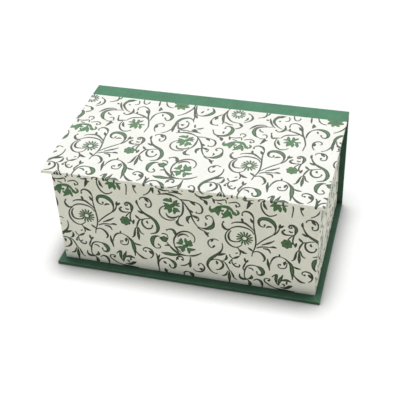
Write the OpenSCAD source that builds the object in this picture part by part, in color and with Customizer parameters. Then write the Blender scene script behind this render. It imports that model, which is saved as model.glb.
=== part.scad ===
// Hinged keepsake box, made as a bookbinder makes it: a three-board case of base, spine and lid,
// and a lined tray that is glued to the base and to the spine. The lid hangs on a narrow strip
// of cloth, which turns at the crease on the spine and at the crease on the lid.
// X runs along the long side, Y from front to back and Z up. The origin is the middle of the
// underside.

/* [Case] */
// Length of the closed box, end to end
case_l = 200; // [150:1:260]
// Depth of the closed box, front to back
case_d = 117; // [90:1:160]
// Height of the closed box
case_h = 89; // [50:1:130]

/* [Sheet stock] */
// Thickness of the grey board
board_t = 2; // [1.5:0.1:3]
// Thickness of the bookcloth
cloth_t = 0.3; // [0.2:0.05:0.5]
// Thickness of the printed paper and of the lining paper
paper_t = 0.2; // [0.1:0.05:0.3]

/* [Tray] */
// How far base and lid stand past each side of the tray
side_square = 4.5; // [2:0.5:9]
// How far base and lid stand past the front of the tray
front_square = 6.5; // [2:0.5:12]
// Gap between the rim of the tray and the closed lid
rest_gap = 0.2; // [0.1:0.05:0.6]
// Depth to which the printed paper is turned down inside the tray
rim_turn_in = 15; // [8:1:22]
// Depth of the wall lining's top edge below the rim
lining_drop = 5; // [2:0.5:7]

/* [Hinge] */
// Open joint between the end of the spine board and the board next to it
joint_gap = 3; // [2.4:0.1:4.5]
// Depth to which the cloth is pressed into a joint
groove_depth = 0.8; // [0.3:0.1:1.2]
// Width of the cloth that shows on top of the lid
strip_w = 14.5; // [8:0.5:30]
// Width of cloth that the printed paper covers at its edge
lap_w = 3; // [1.5:0.5:6]
// Length of the inner hinge down the spine
hinge_leg = 20; // [12:1:30]
// Clearance between the inner hinge on the spine and the strip that bends
crease_gap = 0.1; // [0.05:0.05:0.3]

/* [Turn-ins and linings] */
// Width of the cloth and paper that is turned in over an edge
turn_in = 15; // [8:1:20]
// Width of the open mitre between two turn-ins, measured along the edge of the board
mitre_gap = 0.3; // [0.1:0.1:0.8]
// Margin between an edge of the lid and its lining
lining_inset = 3; // [2:0.5:6]
// Gap between an end of the inner hinge and the turn-in beside it
hinge_end_gap = 0.5; // [0.3:0.1:2]

/* [Hidden] */

$fn = 48;
// Overrun of a cut past the face that it opens
over = 1;
// Straight pieces in the curve of a pressed joint
groove_steps = 12;

// The three case boards are cut to one size, and the covering stands round them
board_x = case_l / 2 - cloth_t - paper_t;
board_front = -case_d / 2 + cloth_t;
board_back = case_d / 2 - cloth_t;
cloth_back = case_d / 2;

// Heights of the base, from the table up
base_board_z = [cloth_t, cloth_t + board_t];
base_top = base_board_z[1] + cloth_t;

// Heights of the lid: paper lapped over cloth is its highest place
lid_board_z = [case_h - cloth_t - paper_t - board_t, case_h - cloth_t - paper_t];
lid_under = lid_board_z[0] - cloth_t;
lid_lowest = lid_under - paper_t;

// The spine board stands between the two joints
spine_z = [base_top + joint_gap, lid_under - joint_gap];
spine_y = [board_back - board_t, board_back];
tray_seat_y = spine_y[0] - cloth_t;

// Edges on the lid, seen from above
paper_edge_y = cloth_back - strip_w;
cloth_edge_y = paper_edge_y - lap_w;
lining_edge_y = cloth_edge_y - paper_t;

// The inner hinge lies between the turn-ins of the case
inner_hinge_x = board_x - turn_in - hinge_end_gap;

// The wrapped tray, its boards and its inside, as [x, front y, back y]
wrap = [case_l / 2 - side_square, -case_d / 2 + front_square, tray_seat_y];
walls = inset(wrap, paper_t);
inside = inset(walls, board_t);
under_lap = inset(inside, paper_t);
tray_z = [base_top, lid_lowest - rest_gap];
walls_z = [tray_z[0] + paper_t, tray_z[1] - paper_t];
floor_top = walls_z[0] + board_t;
turn_in_z = tray_z[1] - rim_turn_in;
lining_z = [floor_top + paper_t, tray_z[1] - lining_drop];

// A sheet that goes down a step needs this much of both levels to hold together
step_w = paper_t;

// A plan [x, front y, back y] taken in by t on all four sides
function inset(plan, t) = [plan[0] - t, plan[1] + t, plan[2] - t];

// Depth of the pressed joint at the share s of its height
function groove(s) = groove_depth * pow(sin(180 * s), 2);

// A block from its lowest to its highest corner
module span(low, high) {
    translate(low) cube(high - low);
}

// A block over a plan [x, front y, back y], between two heights
module over_plan(plan, low, high) {
    span([-plan[0], plan[1], low], [plan[0], plan[2], high]);
}

// A rectangle whose corners are round where soft says 1: lower left and right, upper right and left
module soft_rectangle(low, high, r, soft) {
    size = high - low;
    corners = [
        [low[0] + r, low[1] + r], [high[0] - r, low[1] + r],
        [high[0] - r, high[1] - r], [low[0] + r, high[1] - r],
    ];
    translate([low[0] + r, low[1]]) square([size[0] - 2 * r, size[1]]);
    translate([low[0], low[1] + r]) square([size[0], size[1] - 2 * r]);
    for (i = [0:3])
        translate(corners[i])
            if (soft[i] == 1) circle(r);
            else square(2 * r, center = true);
}

// A profile drawn in Y and Z, extruded along X over the middle of the box
module along_x(half) {
    translate([-half, 0, 0]) rotate([90, 0, 90]) linear_extrude(2 * half) children();
}

// A profile drawn in X and Z, extruded from one Y to another
module along_y(y0, y1) {
    translate([0, y1, 0]) rotate([90, 0, 0]) linear_extrude(y1 - y0) children();
}

// A covered board: a block whose edges are rounded by the covering, r thick.
// soft says which edges round over, in the order front low, back low, back high, front high.
module covered_block(half, ys, zs, r, soft) {
    intersection() {
        along_x(half) soft_rectangle([ys[0], zs[0]], [ys[1], zs[1]], r, soft);
        along_y(ys[0], ys[1])
            soft_rectangle([-half, zs[0]], [half, zs[1]], r, [1, 1, 1, 1]);
    }
}

// One case board, between two heights
module case_board(zs) {
    span([-board_x, board_front, zs[0]], [board_x, board_back, zs[1]]);
}

// The same thing at the right-hand and at the left-hand end
module both_ends() {
    children();
    mirror([1, 0, 0]) children();
}

// The open mitres at the two front corners of a board, where the turn-ins of two edges meet
module front_mitres(z0, z1) {
    reach = turn_in + over;
    both_ends()
        translate([board_x, board_front, z0])
            linear_extrude(z1 - z0)
                polygon([
                    [-mitre_gap, 0], [-reach - mitre_gap, reach],
                    [-reach, reach + mitre_gap], [0, mitre_gap],
                ]);
}

// The pressed cloth across one joint, from z0 to z1. The turn-ins double it at both ends.
module pressed_joint(z0, z1) {
    joint_layer(board_x + cloth_t, 0, cloth_t, z0, z1);
    both_ends()
        translate([board_x + cloth_t / 2 - turn_in / 2, 0, 0])
            joint_layer((turn_in + cloth_t) / 2, 0, 2 * cloth_t, z0, z1);
}

// Cloth across a joint, this thick, whose back lies this deep under the back of the case
module joint_layer(half, depth, thickness, z0, z1) {
    back = [for (i = [0:groove_steps]) [
        cloth_back - depth - groove(i / groove_steps), z0 + (z1 - z0) * i / groove_steps
    ]];
    front = [for (i = [groove_steps:-1:0]) [back[i][0] - thickness, back[i][1]]];
    along_x(half) polygon(concat(back, front));
}

module base_board() {
    color("#9a9488") case_board(base_board_z);
}

module spine_board() {
    color("#9a9488")
        span([-board_x, spine_y[0], spine_z[0]], [board_x, spine_y[1], spine_z[1]]);
}

module lid_board() {
    color("#9a9488") case_board(lid_board_z);
}

// The long walls run the full length, and the short ones stand between them
module tray_front_wall() {
    color("#9a9488")
        span([-walls[0], walls[1], walls_z[0]], [walls[0], inside[1], walls_z[1]]);
}

module tray_back_wall() {
    color("#9a9488")
        span([-walls[0], inside[2], walls_z[0]], [walls[0], walls[2], walls_z[1]]);
}

module tray_left_wall() {
    color("#9a9488")
        span([-walls[0], inside[1], walls_z[0]], [-inside[0], inside[2], walls_z[1]]);
}

module tray_right_wall() {
    color("#9a9488")
        span([inside[0], inside[1], walls_z[0]], [walls[0], inside[2], walls_z[1]]);
}

module tray_floor() {
    color("#9a9488") over_plan(inside, walls_z[0], floor_top);
}

// Cloth round the base board, turned in on top at the front and the ends, under the tray
module base_cloth() {
    color("#2f5c47") difference() {
        covered_block(
            board_x + cloth_t, [-case_d / 2, cloth_back], [0, base_top], cloth_t, [1, 1, 0, 1]);
        case_board(base_board_z);
        span(
            [-board_x + turn_in, board_front + turn_in, base_board_z[1] - cloth_t],
            [board_x - turn_in, board_back, base_top + over]);
        front_mitres(base_board_z[1], base_top + over);
    }
}

// Cloth on the spine, turned in at both ends, with the pressed lower joint that it crosses
module spine_cloth() {
    color("#2f5c47") {
        difference() {
            translate([0, 0, spine_z[0]])
                linear_extrude(spine_z[1] - spine_z[0])
                    soft_rectangle(
                        [-board_x - cloth_t, tray_seat_y], [board_x + cloth_t, cloth_back],
                        cloth_t, [1, 1, 1, 1]);
            span(
                [-board_x, spine_y[0], spine_z[0] - over], [board_x, spine_y[1], spine_z[1] + over]);
            span(
                [-board_x + turn_in, tray_seat_y - over, spine_z[0] - over],
                [board_x - turn_in, spine_y[1], spine_z[1] + over]);
        }
        pressed_joint(base_top, spine_z[0]);
    }
}

// The outer block of the cloth strip on the lid
module lid_cloth_block() {
    covered_block(
        board_x + cloth_t, [cloth_edge_y, cloth_back], [lid_under, lid_board_z[1] + cloth_t],
        cloth_t, [0, 0, 1, 0]);
}

// Cloth strip on the lid, round its back edge and turned in at both ends
module lid_cloth() {
    color("#5f9c78") difference() {
        lid_cloth_block();
        case_board(lid_board_z);
        span(
            [-board_x + turn_in, cloth_edge_y - over, lid_under - over],
            [board_x - turn_in, board_back, lid_board_z[0]]);
    }
}

// The strip of cloth that bends between the spine and the lid
module hinge_cloth() {
    color("#2f5c47") pressed_joint(spine_z[1], lid_under);
}

// Inner hinge on the case: up the inner face of the spine board and back over its top edge
module inner_hinge_spine() {
    top = spine_z[1] + cloth_t;
    back = board_back - cloth_t - groove(cloth_t / joint_gap) - crease_gap;
    color("#2f5c47") {
        span(
            [-inner_hinge_x, tray_seat_y, spine_z[1] - hinge_leg],
            [inner_hinge_x, spine_y[0], top]);
        span([-inner_hinge_x, tray_seat_y, spine_z[1]], [inner_hinge_x, back, top]);
    }
}

// Inner hinge in the joint, on the inside of the cloth that bends
module inner_hinge_bend() {
    color("#2f5c47") joint_layer(inner_hinge_x, cloth_t, cloth_t, spine_z[1], lid_under);
}

// Inner hinge on the lid, forward to the edge of the lining
module inner_hinge_lid() {
    color("#2f5c47")
        span(
            [-inner_hinge_x, lining_edge_y, lid_under],
            [inner_hinge_x, board_back, lid_board_z[0]]);
}

// Printed paper on the lid: turned in at the front and the ends, and lapped over the cloth strip
module lid_paper() {
    color("#f4f3ec") difference() {
        union() {
            covered_block(
                board_x + paper_t, [board_front - paper_t, cloth_edge_y],
                [lid_board_z[0] - paper_t, lid_board_z[1] + paper_t], paper_t, [1, 0, 0, 1]);
            covered_block(
                board_x + cloth_t + paper_t, [cloth_edge_y - paper_t, paper_edge_y],
                [lid_lowest, case_h], cloth_t + paper_t, [0, 0, 0, 0]);
        }
        case_board(lid_board_z);
        lid_cloth_block();
        span(
            [-board_x + turn_in, board_front + turn_in, lid_lowest - over],
            [board_x - turn_in, paper_edge_y + over, lid_board_z[0]]);
        front_mitres(lid_lowest - over, lid_board_z[0]);
    }
}

// Lining of the lid: on the board in the middle, and a step lower over the turn-ins
module lid_lining() {
    z = lid_board_z[0];
    edge = board_x - lining_inset;
    mid = board_x - turn_in;
    mid_front = board_front + turn_in;
    front = board_front + lining_inset;
    color("#ece6d6") {
        difference() {
            span([-edge, front, z - 2 * paper_t], [edge, lining_edge_y, z - paper_t]);
            span(
                [-mid + step_w, mid_front + step_w, z - 2 * paper_t - over],
                [mid - step_w, lining_edge_y + over, z]);
        }
        span([-mid, mid_front, z - paper_t], [mid, lining_edge_y, z]);
    }
}

// Printed paper round the tray: turned under it, up the walls, over the rim and down inside
module tray_paper() {
    color("#d9d4c8") difference() {
        intersection() {
            translate([0, 0, tray_z[0]])
                linear_extrude(tray_z[1] - tray_z[0])
                    soft_rectangle([-wrap[0], wrap[1]], [wrap[0], wrap[2]], paper_t, [1, 1, 1, 1]);
            along_x(wrap[0])
                soft_rectangle([wrap[1], tray_z[0]], [wrap[2], tray_z[1]], paper_t, [1, 1, 1, 1]);
        }
        difference() {
            over_plan(walls, walls_z[0], walls_z[1]);
            over_plan(inside, walls_z[0] - over, walls_z[1] + over);
        }
        over_plan(inside, walls_z[0], turn_in_z);
        over_plan(under_lap, turn_in_z - over, tray_z[1] + over);
        over_plan(inset(walls, turn_in), tray_z[0] - over, walls_z[0] + over);
    }
}

// Lining of the four walls: on the boards below, and a step inward over the turned-down paper
module wall_lining() {
    top_inside = inset(under_lap, paper_t);
    color("#ece6d6") {
        difference() {
            over_plan(inside, lining_z[0], turn_in_z);
            over_plan(under_lap, lining_z[0] - over, turn_in_z - step_w);
            over_plan(top_inside, turn_in_z - step_w - over, turn_in_z + over);
        }
        difference() {
            over_plan(under_lap, turn_in_z, lining_z[1]);
            over_plan(top_inside, turn_in_z - over, lining_z[1] + over);
        }
    }
}

module floor_lining() {
    color("#ece6d6") over_plan(inside, floor_top, floor_top + paper_t);
}

base_board();
spine_board();
lid_board();
tray_front_wall();
tray_back_wall();
tray_left_wall();
tray_right_wall();
tray_floor();
base_cloth();
spine_cloth();
hinge_cloth();
lid_cloth();
inner_hinge_spine();
inner_hinge_bend();
inner_hinge_lid();
lid_paper();
lid_lining();
tray_paper();
wall_lining();
floor_lining();
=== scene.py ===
import math
import bpy
import bmesh
from mathutils import Matrix, Vector
from mathutils.geometry import delaunay_2d_cdt


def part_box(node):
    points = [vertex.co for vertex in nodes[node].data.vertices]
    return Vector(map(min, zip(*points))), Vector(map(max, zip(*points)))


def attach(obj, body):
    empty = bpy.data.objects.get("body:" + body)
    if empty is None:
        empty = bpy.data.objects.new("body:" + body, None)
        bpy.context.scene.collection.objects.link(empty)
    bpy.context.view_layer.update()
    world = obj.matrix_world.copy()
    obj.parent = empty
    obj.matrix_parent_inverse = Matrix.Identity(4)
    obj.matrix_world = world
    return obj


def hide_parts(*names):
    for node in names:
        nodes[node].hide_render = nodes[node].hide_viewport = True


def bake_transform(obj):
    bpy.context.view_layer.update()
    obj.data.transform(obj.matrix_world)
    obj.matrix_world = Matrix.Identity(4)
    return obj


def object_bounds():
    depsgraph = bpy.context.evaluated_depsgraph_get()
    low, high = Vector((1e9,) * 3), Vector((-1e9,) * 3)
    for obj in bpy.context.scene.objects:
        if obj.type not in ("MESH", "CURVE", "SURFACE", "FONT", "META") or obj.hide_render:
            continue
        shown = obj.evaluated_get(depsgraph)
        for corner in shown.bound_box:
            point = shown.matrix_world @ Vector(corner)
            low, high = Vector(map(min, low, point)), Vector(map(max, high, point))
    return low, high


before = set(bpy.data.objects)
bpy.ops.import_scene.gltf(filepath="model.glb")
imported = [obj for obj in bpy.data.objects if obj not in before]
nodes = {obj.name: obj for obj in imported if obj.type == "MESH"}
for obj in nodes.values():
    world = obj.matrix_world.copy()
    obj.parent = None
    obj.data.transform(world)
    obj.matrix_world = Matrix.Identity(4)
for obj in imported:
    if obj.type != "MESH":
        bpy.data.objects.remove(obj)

# A bookbinder's keepsake box in green cloth and printed scroll paper. The boards, linings and
# glued cloth keep their meshes from the frame. The printed papers and the grooved cloth of the
# hinge are made here. The print and the folded sheets are worked out in millimetres: each sheet
# is drawn flat, cut along its strokes and its folds, and then laid round the boards.
cad_box = [list(corner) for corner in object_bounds()]
MM = 0.001

# The print

PAPER_FACE, OUTLINE_INK, LEAF_INK = 0, 1, 2
REPEAT = 117.5       # width of one repeat of the scrollwork
REPEATS_AROUND = 4   # repeats laid to each side of the first, more than any sheet is wide
STEM_RIM = 0.9       # dark outline of a stem or leaf, round its green field
PETAL_RIM = 0.26     # the same on a petal
THIN = 0.8           # width of a stroke at its ends
BOLD = 1.25          # how much wider the pen is than the rows say
FINE = 1.5           # a stroke narrower than this swells like a pen line, a wider one like a leaf
PEN_SWELL = 1.2      # how late a pen line swells, 1 for evenly
NARROWEST = 0.3      # a green field is nowhere narrower than this
POINT_STEP = 1.05    # about the distance between two points of a drawn curve

# One repeat, x to the right and y up. Each row is a stroke: its greatest width,
# the share of its length where that is, and its points as x, y.
STROKES = (
    # Sunburst branch: stem, arcs, ring and leaves
    (0.95, 0.5, 49.4, 31, 50.2, 35.3, 51.4, 38.5, 52.3, 42.5, 52.4, 47, 51.9, 52, 51.2, 57, 50.9, 61,
     51.1, 65.4),
    (1.5, 0.35, 51.1, 65.4, 50.2, 68.2, 48.6, 70.4, 46.4, 71.3, 44.6, 71, 43, 69.4, 43, 67.6),
    (1.9, 0.5, 48.6, 65.6, 49.6, 63.6, 51.2, 61.3),
    (1.4, 0.4, 51.2, 54.7, 49.9, 56.6, 47.4, 58.8, 44.9, 60.7, 42.7, 61.1, 39.2, 60.7, 36.4, 59.7, 35.2,
     58.5),
    (1.7, 0.4, 42.8, 64.8, 42.9, 63, 43.9, 60.8),
    (1.1, 0.5, 51, 51.9, 49.9, 54.1, 48, 55.7, 45.5, 56.6, 42.4, 57.1, 39.2, 56.8, 36.1, 55.4, 33.9,
     53.5),
    (1.2, 0.5, 34.2, 53, 32.7, 51.9, 31.1, 49.1, 30.6, 46, 31.1, 42.9, 32.7, 40.1, 34.9, 38.2, 37.4,
     37.4, 39.6, 37.9, 41.4, 39.4, 42.7, 41),
    (1.4, 0.4, 34.9, 52.3, 33.6, 50.4, 32.9, 47.9, 33, 45.7, 33.9, 43.5, 36.1, 42.6, 39.3, 42.9, 40.5,
     43.8),
    (1.7, 0.55, 29.6, 59.2, 28.7, 57.4, 29.1, 55.2, 30.5, 53.3, 32.4, 52.9, 34.3, 53.8),
    # Heart-shaped scroll and the fork beside it
    (0.9, 0.5, 53, 42.3, 55.5, 45.4, 58.6, 48.5, 61.8, 51.3, 64.6, 53.8, 65.8, 56),
    (2.8, 0.38, 65.8, 56, 66.3, 59.1, 65.8, 62.3, 64.2, 64.9, 61.8, 66.6, 59, 67.2, 56.6, 66.8, 54.9,
     65.3, 54.4, 63.2, 54.9, 61, 56.4, 59.8, 58.3, 59.9, 58.6, 61.3),
    (1.4, 0.5, 59.6, 59.2, 61.3, 60.6, 63.6, 60.6),
    (1.0, 0.5, 65, 53.6, 66.8, 55.8, 68.2, 58.4, 68.9, 60.4),
    (1.7, 0.5, 68.7, 60, 69, 61.8, 69.3, 64.2),
    (1.7, 0.5, 68.9, 60.6, 70.2, 62, 71.9, 63.2),
    # Leaves at the foot of the branch
    (1.4, 0.5, 56.4, 42.9, 60.5, 45.1, 63, 46.6, 65.5, 48.7),
    (1.0, 0.4, 52.7, 39.4, 55.5, 41, 59.3, 41.7, 63, 42),
    (1.6, 0.5, 62.2, 41.9, 64.6, 42.6, 67.2, 42.2),
    (1.4, 0.55, 57.4, 39.9, 60.5, 39.9, 62, 38.8, 62.9, 36.4),
    (1.5, 0.5, 46.8, 38.8, 48.6, 37.4, 50.2, 36),
    (1.6, 0.65, 50.2, 35, 53, 36.4, 55.5, 35.8, 57.7, 33.6, 58.8, 31, 58.5, 29, 57.3, 27.6),
    # Branch at the rosette
    (0.95, 0.5, 80.2, 46, 78.6, 48.5, 78.2, 51, 78.8, 54.8, 79.9, 57.9),
    (2.0, 0.25, 79.5, 56, 80.1, 59, 80.4, 61.4, 79.6, 63.3, 78, 64.5, 76.1, 64.2, 75.2, 62.8, 76, 61.6,
     77.1, 62.4),
    (1.6, 0.35, 72.2, 59.4, 71, 58.4, 71.2, 56.8, 72.4, 55.7, 74.6, 55.4, 77.4, 56),
    (1.2, 0.5, 75.3, 59.3, 76.6, 58.4, 78.2, 58.7),
    (1.6, 0.5, 80.9, 49.4, 80.3, 47.4, 79.9, 45.2),
    (0.8, 0.5, 74.8, 51.4, 76.4, 53.6, 78.6, 56.3),
    # Large S-scroll with its circle and palm
    (2.3, 0.72, 84.6, 67.9, 84.3, 66, 85.2, 63.2, 86.8, 59.8, 88.4, 57.6, 90.9, 55.7, 94, 53.8, 96.5,
     51.6, 98.1, 48.5, 98.7, 45.4, 98.1, 42.3, 96.8, 40.1, 94.6, 39.1, 92.4, 38.4),
    (1.5, 0.4, 84.6, 68.2, 84.3, 66, 85.2, 63),
    (1.6, 0.5, 84.3, 58.5, 85.9, 57.6, 88.4, 56.3),
    (1.0, 0.5, 87.1, 68.5, 86.8, 69.4, 88.4, 71, 90.9, 71.3, 93.4, 70.4, 94.9, 68.2, 95.2, 66, 94.6,
     63.8, 92.7, 62.8, 91.2, 63.5, 91.2, 65.1),
    (2.0, 0.5, 90.4, 71, 91.8, 69.4, 93.4, 67.4),
    (1.3, 0.6, 93.1, 52.6, 89.6, 51.9, 87.4, 50.4, 86.8, 48.2, 87.4, 45.4, 89, 43.5, 90.9, 42.8, 93.1,
     43.5, 94.3, 45.1, 94.5, 46.2),
    (1.4, 0.5, 90.9, 50.3, 90.6, 48.9, 91.6, 47.8),
    (1.6, 0.5, 82.3, 54, 83.6, 52.2, 85.4, 50.7),
    (1.1, 0.5, 88, 51.2, 85.2, 50.2, 84, 47.9, 83, 45.2, 82.6, 42.3),
    (1.5, 0.6, 82.7, 43, 81.3, 41.4, 80.6, 38.5, 80.2, 36, 79.3, 33.5, 77.7, 32.5),
    (1.9, 0.65, 82.8, 42.5, 83, 37.5, 83.1, 34, 83.2, 30.8),
    (1.0, 0.5, 83.6, 43, 84.9, 38.4, 87.4, 36.6),
    # Arch with its thick right limb
    (1.8, 0.5, 60.8, 31, 61.1, 27.3, 61.8, 23.5, 62.3, 20),
    (1.2, 0.6, 62.7, 26, 63.3, 28.8, 64.3, 31.3, 66.1, 33.5, 68.6, 34.6, 71.1, 34.4),
    (2.6, 0.6, 71.1, 34.4, 73.6, 32.9, 75.8, 30.7, 77.5, 28.2, 78.2, 24.8, 78.6, 21, 78.8, 17.3, 78.8,
     14.2),
    (1.0, 0.4, 69.1, 37, 69.2, 35.8, 69.2, 34.6),
    (1.9, 0.5, 73.9, 31, 72.9, 29.2, 72.7, 27),
    (0.85, 0.5, 74.6, 29.8, 74.4, 26.6, 73.3, 24.4, 71.1, 23.8, 69.3, 24.1, 68.3, 25.7, 68.6, 27.3,
     69.8, 27),
    (1.4, 0.6, 78.6, 27.4, 81.1, 26.1, 84.5, 25.7),
    (1.6, 0.75, 79, 20.4, 80.5, 17.6, 83, 14.8, 85.5, 13.3, 88, 13.2),
    (1.3, 0.4, 90.2, 14.1, 92.1, 16, 93, 19.1, 92.1, 22.3, 89.9, 23.8, 87.7, 24.1, 85.8, 22.9, 85.6,
     20.9, 87.4, 20.4),
    (2.0, 0.5, 89.8, 21.6, 91, 20.4, 92.2, 18.4),
    # Curls below the sunburst
    (1.9, 0.5, 40.8, 35.8, 42.4, 34.2, 43.9, 33.3, 46, 33),
    (0.95, 0.5, 39.3, 37.3, 40.5, 35.4, 41.3, 32.9, 40.8, 30.4),
    (1.6, 0.5, 40.6, 29.8, 39, 28.3, 37.2, 27.2, 35.3, 26.2),
    (0.8, 0.5, 35.6, 26.4, 34.4, 24.4, 33, 22.4),
    (1.5, 0.5, 32.4, 22.4, 33.2, 21.6, 34, 20.9),
    (0.8, 0.5, 37.6, 31.5, 38.4, 31.8, 39.3, 32.6),
    (0.8, 0.5, 33.2, 30, 33.8, 28, 35.2, 26.9),
    (1.2, 0.6, 35.2, 24.4, 34.9, 22.6, 36.1, 20.4, 38, 18.9, 40.2, 19.1, 40.5, 20.6),
    (0.7, 0.5, 35.8, 21, 37, 21.5, 38.2, 22.3),
    # Fork with three leaves
    (1.0, 0.5, 27.4, 22.9, 29.9, 20.9, 31.4, 17.9, 32.7, 14.8, 33.9, 13.5),
    (1.6, 0.5, 30.9, 29, 31.1, 26.3, 30.2, 24.2, 28.6, 23.3),
    (1.3, 0.6, 32, 14, 31.2, 12, 30.4, 9.8, 28.9, 8.5, 27.1, 8.1),
    (2.2, 0.5, 32.9, 13.5, 32.7, 10.4, 32.7, 6, 32.8, 2.4),
    (1.3, 0.4, 34.1, 13.6, 35.2, 10.4, 36.2, 7.6, 38.2, 5.9),
    # Tulip, its big curl and the bow
    (1.5, 0.4, 44.2, 28.5, 44.6, 26, 45.2, 24.2),
    (1.3, 0.4, 46.9, 27, 46, 25.4, 45.2, 24.2),
    (1.1, 0.5, 45.2, 24.4, 43.8, 21, 43, 18.5, 43.7, 16.4),
    (1.0, 0.5, 43.9, 9.8, 43.9, 14.1, 44.6, 17.9, 46.1, 21, 48.6, 22.4, 51.8, 22.6, 54.4, 22),
    (2.8, 0.35, 52, 22.6, 54.6, 21.6, 56.6, 19.8, 57.6, 17.6, 57.3, 15.4, 55.5, 14.1, 53.5, 14.7, 53,
     16.6),
    (1.1, 0.5, 46.8, 19.5, 49.3, 19.3, 50.6, 17.4),
    (1.9, 0.5, 40.5, 12.6, 40.3, 10.1, 41.6, 8.3, 44.3, 7.7, 46.3, 8.6),
    (2.2, 0.5, 46.4, 8.6, 48.4, 9.6, 49.4, 11, 48.8, 13),
    (1.2, 0.5, 44, 10.4, 44.6, 8.6, 46.6, 7.4),
    (2.5, 0.6, 46.4, 7.8, 47.8, 5.6, 48, 3.6, 47.6, 1.6),
    (1.9, 0.6, 50.5, 7.9, 53, 9.6, 55.5, 8.7, 56.8, 6.4, 57.2, 2.6),
    (1.0, 0.5, 62.9, 11.7, 60.5, 11.9, 58.7, 11, 58.6, 9.1, 59.9, 7.6, 63, 5.4, 65.5, 4.1),
    (1.6, 0.5, 60.9, 10.6, 61.8, 9.9, 62.8, 11.6),
    # Lower palmette
    (2.0, 0.5, 63.9, 13.9, 65.5, 15.8, 67.5, 17, 67, 13.4, 67.3, 9.6, 69, 6.8),
    (2.3, 0.55, 71.9, 17.8, 71, 15, 69.8, 12, 69.2, 9.2, 69, 6.8),
    (2.0, 0.6, 69.9, 11.2, 72.4, 12.6, 75.2, 12.9, 78.2, 11.8),
    (1.2, 0.5, 74.9, 12, 74.8, 10.4, 74.6, 8.8),
    (1.2, 0.5, 71.2, 8.4, 72.6, 8.6, 73.2, 7.6, 72.9, 6.4),
    (1.9, 0.5, 70.3, 5.2, 73, 5, 75.6, 5.9, 78, 7.4, 78.8, 8.6),
    (1.4, 0.5, 75, 6.6, 76.6, 7.6, 78.8, 8),
    (1.6, 0.5, 65.4, 4, 70, 3.2, 75, 2.7, 80.8, 2.9),
    # Lobed flower: its stems, rings and curls
    (1.5, 0.55, -17, 75.7, -14.2, 76.5, -10.4, 77.3, -6.7, 76.8, -3.5, 75.7, -1, 74.1),
    (1.2, 0.4, -1, 74.1, 1.5, 71.6, 3.4, 68.5, 5.3, 65.1, 6.5, 61.9, 7.1, 58.5, 8.7, 54.8, 10.6, 51.9,
     13.4, 50.5),
    (2.7, 0.5, 12.6, 50.7, 16.8, 50.7, 19.6, 51.9, 21.8, 54.1, 22.5, 57.3, 22.3, 60.4),
    (0.9, 0.5, 22.3, 60.2, 21.2, 62.3, 19, 63, 17.1, 61.9, 17, 60.4, 17.8, 59.8),
    (1.4, 0.5, 5.4, 65.8, 6.8, 64.6, 8, 63.6),
    (0.9, 0.5, -0.6, 74, 1.5, 73.8, 4.6, 74, 6.5, 73.7),
    (2.2, 0.5, 5.7, 73.8, 7.8, 72.7, 9.8, 70.4),
    (1.2, 0.5, 9, 73.4, 12.8, 71.9, 14.6, 69.4, 14.9, 66.6, 14, 64.4, 11.8, 63.6, 10.4, 64.1),
    (0.85, 0.5, 6.5, 60.7, 7.8, 61, 10, 60.7, 11.5, 59.8, 11.9, 57.9, 11.2, 57.1),
    (1.4, 0.5, 7.6, 60.8, 9.2, 60, 10.9, 58.8),
    (2.2, 0.4, 6.5, 60.4, 4.6, 59.2, 3.6, 57.4, 3.5, 55.2, 4.6, 53.4),
    (1.2, 0.5, 16.2, 56.2, 17.1, 54.8, 16.2, 53.2),
    (0.9, 0.5, 10.6, 50.9, 13, 49.3, 15.3, 48.3),
    (1.9, 0.5, 14.9, 48.6, 16.9, 46.4, 18.3, 43.4),
    (1.0, 0.5, 17, 46.4, 19, 47.4),
    (1.5, 0.5, -2.3, 59.3, -4.8, 57.3, -7.9, 56.3, -10.4, 56.9, -11.6, 58.5, -11.8, 60.2),
    (1.0, 0.5, -13.2, 66, -15.4, 64.1, -16.6, 61.3, -16.3, 57.9, -14.4, 55.4, -11.6, 54, -8.5, 54, -5.4,
     55.1),
    (1.2, 0.5, -0.1, 74.1, 0.9, 71, 1, 67.3, 0.6, 63.5, -0.4, 60.4, -1.9, 58.5, -2.9, 56.6, -3.5, 54.8),
    (2.0, 0.4, -2.9, 56, -3.8, 54.1, -4.2, 52.3, -2.9, 50.8, -1, 50.5, 0.5, 50.6),
    # Five-petal flower: its stem, rings and curls
    (1.2, 0.5, -4.7, 24.4, -6.6, 27.9, -7.7, 31.6, -7.6, 36, -6.3, 39.4, -4.4, 42.3, -1.9, 44.4, 1.2,
     45.4, 4.3, 45.1, 6.8, 43.2, 8.1, 40.4, 7.8, 37.3, 6.9, 36),
    (0.8, 0.5, -6.3, 29.8, -5.1, 26.9, -2.9, 24.4),
    (1.5, 0.4, -4.7, 39.1, -2.9, 41.3, -0.4, 42.5, 2.1, 42.2, 3.4, 40.7),
    (2.0, 0.7, -12.4, 44.2, -11, 45.1, -8.8, 45.6, -7, 44.4, -6.2, 41.6, -6, 40),
    (1.8, 0.5, -13.5, 32.9, -11.6, 30.1, -9.8, 27.6, -7.3, 25.1, -4.1, 22.9, -0.4, 22.3, 3.4, 22.4),
    (1.3, 0.3, 2.4, 22.3, 6.5, 23.2, 9.6, 24.8, 12.6, 27.1),
    (1.3, 0.5, -15, 29, -12.9, 29.8, -10.8, 29.4),
    (4.4, 0.5, -18.6, 35.8, -15.2, 35.4, -11.7, 36.8),
    (2.6, 0.5, -17.6, 36.9, -15.2, 33.6, -13.2, 32.8),
    (0.9, 0.5, -16.6, 39.8, -15.1, 40.5, -12.8, 39.8, -11.9, 37.6),
    (2.8, 0.42, -18.3, 37.2, -21, 36.9, -23.2, 35.1, -24.2, 32.3, -24.2, 29.1, -23.3, 26.6, -21, 25.1),
    (0.85, 0.5, -21.6, 25.3, -18.8, 26, -18.3, 27.9, -19.6, 29.1),
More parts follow.
